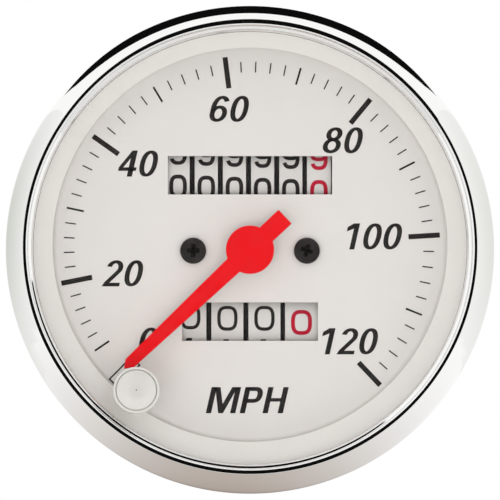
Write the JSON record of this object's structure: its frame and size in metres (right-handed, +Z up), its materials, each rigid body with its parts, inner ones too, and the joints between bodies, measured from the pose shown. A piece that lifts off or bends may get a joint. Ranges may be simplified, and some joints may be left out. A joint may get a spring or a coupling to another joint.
{
  "type": "panel speedometer",
  "caption": "Cable-driven panel speedometer with a chrome bezel, red pointer, odometer, trip counter and reset knob.",
  "frame": {"origin": "on the dial's axis, on the panel's front face where the bezel seats", "axes": "+X right as the driver sees it, +Y into the panel, +Z up"},
  "size_m": [0.0856, 0.0921, 0.0856],
  "materials": {
    "chrome": "polished",
    "lens_glass": "polished",
    "gasket_rubber": "matte",
    "ring_plastic": "satin",
    "dial_paint": "matte",
    "black_steel": "black oxide",
    "frame_aluminium": "brushed",
    "base_casting": "cast",
    "brass": "satin",
    "case_paint": "satin black",
    "zinc_steel": "zinc plated",
    "fitting_nickel": "nickel plated",
    "field_steel": "satin",
    "lamp_plastic": "matte",
    "bulb_glass": "clear",
    "shaft_steel": "turned",
    "carrier_plastic": "matte",
    "gear_nylon": "satin",
    "drum_plastic": "matte",
    "pointer_paint": "satin",
    "cup_aluminium": "bright",
    "magnet_ferrite": "matte",
    "knob_acrylic": "clear"
  },
  "bodies": {
    "housing": {"case": "case_paint", "bezel": "chrome", "lens": "lens_glass", "lens_gasket": "gasket_rubber", "dial_ring": "ring_plastic", "dial": "dial_paint", "dial_screws": "black_steel", "dial_bridge": "frame_aluminium", "dial_pillars": "frame_aluminium", "spindle_bushes": "brass", "movement_frame": "frame_aluminium", "frame_pillars": "frame_aluminium", "bearing_plate": "frame_aluminium", "base_plate": "base_casting", "movement_screws": "zinc_steel", "field_ring": "field_steel", "cable_fitting": "fitting_nickel", "mounting_studs": "zinc_steel", "lamp_holders": "lamp_plastic", "lamp_bulbs": "bulb_glass", "odometer_shaft": "shaft_steel", "odometer_carriers": "carrier_plastic", "trip_carriers": "carrier_plastic", "idler_pin": "shaft_steel", "reset_bush": "gear_nylon", "hairspring": "brass"},
    "pointer": {"pointer": "pointer_paint", "spindle": "shaft_steel", "speed_cup": "cup_aluminium"},
    "input": {"input_shaft": "shaft_steel", "magnet": "magnet_ferrite"},
    "cross": {"cross_shaft": "shaft_steel", "cross_gear": "gear_nylon"},
    "lay": {"lay_shaft": "shaft_steel", "lay_gear": "gear_nylon"},
    "idler": {"idler_gear": "gear_nylon"},
    "trip_shaft": {"trip_shaft": "shaft_steel"},
    "reset": {"reset_knob": "knob_acrylic", "reset_shaft": "gear_nylon"},
    "odometer_1": {"odometer_drum_1": "drum_plastic", "odometer_gear": "gear_nylon"},
    "odometer_2": {"odometer_drum_2": "drum_plastic"},
    "odometer_3": {"odometer_drum_3": "drum_plastic"},
    "odometer_4": {"odometer_drum_4": "drum_plastic"},
    "odometer_5": {"odometer_drum_5": "drum_plastic"},
    "odometer_6": {"odometer_drum_6": "drum_plastic"},
    "odometer_transfer_1": {"odometer_pinion_1": "gear_nylon"},
    "odometer_transfer_2": {"odometer_pinion_2": "gear_nylon"},
    "odometer_transfer_3": {"odometer_pinion_3": "gear_nylon"},
    "odometer_transfer_4": {"odometer_pinion_4": "gear_nylon"},
    "odometer_transfer_5": {"odometer_pinion_5": "gear_nylon"},
    "trip_1": {"trip_drum_1": "drum_plastic", "trip_gear": "gear_nylon"},
    "trip_2": {"trip_drum_2": "drum_plastic"},
    "trip_3": {"trip_drum_3": "drum_plastic"},
    "trip_4": {"trip_drum_4": "drum_plastic"},
    "trip_transfer_1": {"trip_pinion_1": "gear_nylon"},
    "trip_transfer_2": {"trip_pinion_2": "gear_nylon"},
    "trip_transfer_3": {"trip_pinion_3": "gear_nylon"}
  },
  "joints": [
    {"name": "pointer_swing", "type": "hinge", "parent": "housing", "child": "pointer", "pos_m": [0, 0, 0], "axis": [0, 1, 0], "range_deg": [0, 270], "stiffness_Nm_per_rad": 0.0002, "springref_deg": -20.05, "deforming": ["hairspring"]},
    {"name": "input_spin", "type": "hinge", "parent": "housing", "child": "input", "pos_m": [0, 0.04966, 0], "axis": [0, 1, 0], "continuous": true},
    {"name": "cross_spin", "type": "hinge", "parent": "housing", "child": "cross", "pos_m": [0.0085, 0.04966, 0], "axis": [0, 0, 1], "continuous": true},
    {"name": "lay_spin", "type": "hinge", "parent": "housing", "child": "lay", "pos_m": [0.01835, 0.04966, 0.02235], "axis": [0, -1, 0], "continuous": true},
    {"name": "idler_spin", "type": "hinge", "parent": "housing", "child": "idler", "pos_m": [0.021, 0.0134, 0.00045], "axis": [1, 0, 0], "continuous": true},
    {"name": "odometer_turn_1", "type": "hinge", "parent": "housing", "child": "odometer_1", "pos_m": [0, 0.0134, 0.01335], "axis": [-1, 0, 0], "continuous": true},
    {"name": "odometer_turn_2", "type": "hinge", "parent": "housing", "child": "odometer_2", "pos_m": [0, 0.0134, 0.01335], "axis": [-1, 0, 0], "continuous": true},
    {"name": "odometer_turn_3", "type": "hinge", "parent": "housing", "child": "odometer_3", "pos_m": [0, 0.0134, 0.01335], "axis": [-1, 0, 0], "continuous": true},
    {"name": "odometer_turn_4", "type": "hinge", "parent": "housing", "child": "odometer_4", "pos_m": [0, 0.0134, 0.01335], "axis": [-1, 0, 0], "continuous": true},
    {"name": "odometer_turn_5", "type": "hinge", "parent": "housing", "child": "odometer_5", "pos_m": [0, 0.0134, 0.01335], "axis": [-1, 0, 0], "continuous": true},
    {"name": "odometer_turn_6", "type": "hinge", "parent": "housing", "child": "odometer_6", "pos_m": [0, 0.0134, 0.01335], "axis": [-1, 0, 0], "continuous": true},
    {"name": "odometer_carry_1", "type": "hinge", "parent": "housing", "child": "odometer_transfer_1", "pos_m": [0, 0.0183, 0.01335], "axis": [-1, 0, 0], "continuous": true},
    {"name": "odometer_carry_2", "type": "hinge", "parent": "housing", "child": "odometer_transfer_2", "pos_m": [0, 0.0183, 0.01335], "axis": [-1, 0, 0], "continuous": true},
    {"name": "odometer_carry_3", "type": "hinge", "parent": "housing", "child": "odometer_transfer_3", "pos_m": [0, 0.0183, 0.01335], "axis": [-1, 0, 0], "continuous": true},
    {"name": "odometer_carry_4", "type": "hinge", "parent": "housing", "child": "odometer_transfer_4", "pos_m": [0, 0.0183, 0.01335], "axis": [-1, 0, 0], "continuous": true},
    {"name": "odometer_carry_5", "type": "hinge", "parent": "housing", "child": "odometer_transfer_5", "pos_m": [0, 0.0183, 0.01335], "axis": [-1, 0, 0], "continuous": true},
    {"name": "trip_turn_1", "type": "hinge", "parent": "housing", "child": "trip_1", "pos_m": [0, 0.0134, -0.01245], "axis": [-1, 0, 0], "continuous": true},
    {"name": "trip_turn_2", "type": "hinge", "parent": "housing", "child": "trip_2", "pos_m": [0, 0.0134, -0.01245], "axis": [-1, 0, 0], "continuous": true},
    {"name": "trip_turn_3", "type": "hinge", "parent": "housing", "child": "trip_3", "pos_m": [0, 0.0134, -0.01245], "axis": [-1, 0, 0], "continuous": true},
    {"name": "trip_turn_4", "type": "hinge", "parent": "housing", "child": "trip_4", "pos_m": [0, 0.0134, -0.01245], "axis": [-1, 0, 0], "continuous": true},
    {"name": "trip_carry_1", "type": "hinge", "parent": "housing", "child": "trip_transfer_1", "pos_m": [0, 0.0183, -0.01245], "axis": [-1, 0, 0], "continuous": true},
    {"name": "trip_carry_2", "type": "hinge", "parent": "housing", "child": "trip_transfer_2", "pos_m": [0, 0.0183, -0.01245], "axis": [-1, 0, 0], "continuous": true},
    {"name": "trip_carry_3", "type": "hinge", "parent": "housing", "child": "trip_transfer_3", "pos_m": [0, 0.0183, -0.01245], "axis": [-1, 0, 0], "continuous": true},
    {"name": "reset_turn", "type": "hinge", "parent": "housing", "child": "reset", "pos_m": [-0.01985, 0, -0.02516], "axis": [0, -1, 0], "continuous": true},
    {"name": "trip_shaft_turn", "type": "hinge", "parent": "housing", "child": "trip_shaft", "pos_m": [0, 0.0134, -0.01245], "axis": [1, 0, 0], "continuous": true}
  ],
  "couplings": [
    {"joint": "cross_spin", "follows": "input_spin", "ratio": 0.1},
    {"joint": "lay_spin", "follows": "input_spin", "ratio": 0.01},
    {"joint": "idler_spin", "follows": "input_spin", "ratio": 0.00053571},
    {"joint": "odometer_turn_1", "follows": "input_spin", "ratio": 0.001},
    {"joint": "odometer_turn_2", "follows": "input_spin", "ratio": 0.0001},
    {"joint": "odometer_turn_3", "follows": "input_spin", "ratio": 0.00001},
    {"joint": "odometer_turn_4", "follows": "input_spin", "ratio": 0.000001},
    {"joint": "odometer_turn_5", "follows": "input_spin", "ratio": 0.0000001},
    {"joint": "odometer_turn_6", "follows": "input_spin", "ratio": 0.00000001},
    {"joint": "odometer_carry_1", "follows": "input_spin", "ratio": 0.00033333},
    {"joint": "odometer_carry_2", "follows": "input_spin", "ratio": 0.000033333},
    {"joint": "odometer_carry_3", "follows": "input_spin", "ratio": 0.0000033333},
    {"joint": "odometer_carry_4", "follows": "input_spin", "ratio": 0.00000033333},
    {"joint": "odometer_carry_5", "follows": "input_spin", "ratio": 0.000000033333},
    {"joint": "trip_turn_1", "follows": "input_spin", "ratio": 0.001},
    {"joint": "trip_turn_2", "follows": "input_spin", "ratio": 0.0001},
    {"joint": "trip_turn_3", "follows": "input_spin", "ratio": 0.00001},
    {"joint": "trip_turn_4", "follows": "input_spin", "ratio": 0.000001},
    {"joint": "trip_carry_1", "follows": "input_spin", "ratio": 0.00033333},
    {"joint": "trip_carry_2", "follows": "input_spin", "ratio": 0.000033333},
    {"joint": "trip_carry_3", "follows": "input_spin", "ratio": 0.0000033333},
    {"joint": "trip_shaft_turn", "follows": "reset_turn", "ratio": 0.75}
  ]
}
